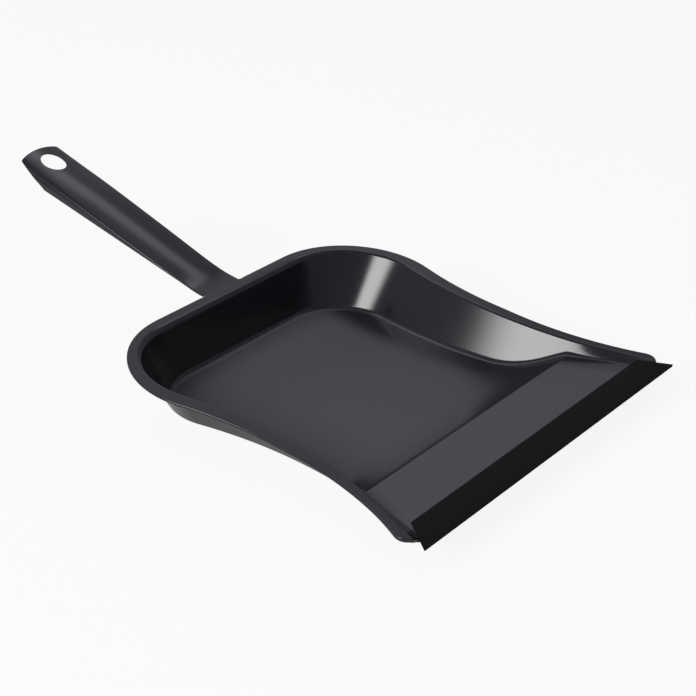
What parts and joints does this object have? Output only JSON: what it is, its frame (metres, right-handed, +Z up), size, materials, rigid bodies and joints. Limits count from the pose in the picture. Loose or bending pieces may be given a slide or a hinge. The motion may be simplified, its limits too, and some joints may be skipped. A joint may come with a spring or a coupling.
{
  "type": "dustpan",
  "caption": "Black sheet-steel dustpan: shallow drawn tray with a flat rim, a rising floor to a front shelf, a push-on rubber lip and a channel handle with a hanging hole.",
  "frame": {"origin": "on the ground, at the middle of the tray's width, under the flat part of the floor", "axes": "+Z up, +Y along the handle towards its end, the rubber lip towards -Y, X across the tray"},
  "size_m": [0.2348, 0.3881, 0.0834],
  "materials": {
    "paint": "satin black paint over thin steel sheet",
    "rubber": "matte black"
  },
  "bodies": {
    "root": {"pan": "paint", "handle": "paint", "rubber_lip": "rubber"}
  },
  "joints": []
}
